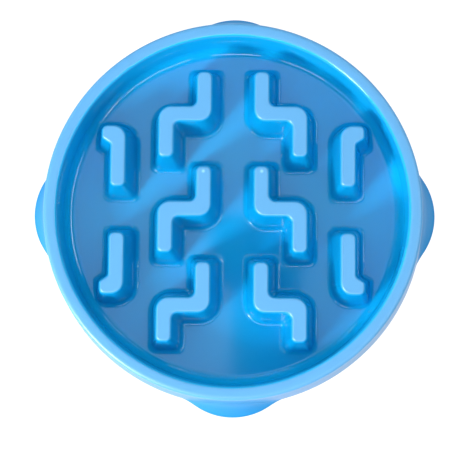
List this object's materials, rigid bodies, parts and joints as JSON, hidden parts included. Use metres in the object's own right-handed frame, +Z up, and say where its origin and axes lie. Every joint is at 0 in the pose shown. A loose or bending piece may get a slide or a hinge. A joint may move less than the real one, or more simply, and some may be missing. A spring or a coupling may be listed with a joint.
{
  "type": "slow feeder bowl",
  "caption": "Round shallow pet bowl with stepped and hooked ridges on its floor that slow eating, a rolled rim, a flared skirt and rubber-footed lobes.",
  "frame": {"origin": "on the ground, under the middle of the bowl", "axes": "+Z up along the bowl's axis; +X and +Y towards two of the foot lobes; the row of ridges with the short lower arms lies on the -Y side"},
  "size_m": [0.2926, 0.2926, 0.044],
  "materials": {
    "shell_plastic": "smooth gloss",
    "foot_rubber": "matt"
  },
  "bodies": {
    "root": {"bowl": "shell_plastic", "foot_front": "foot_rubber", "foot_right": "foot_rubber", "foot_back": "foot_rubber", "foot_left": "foot_rubber"}
  },
  "joints": []
}
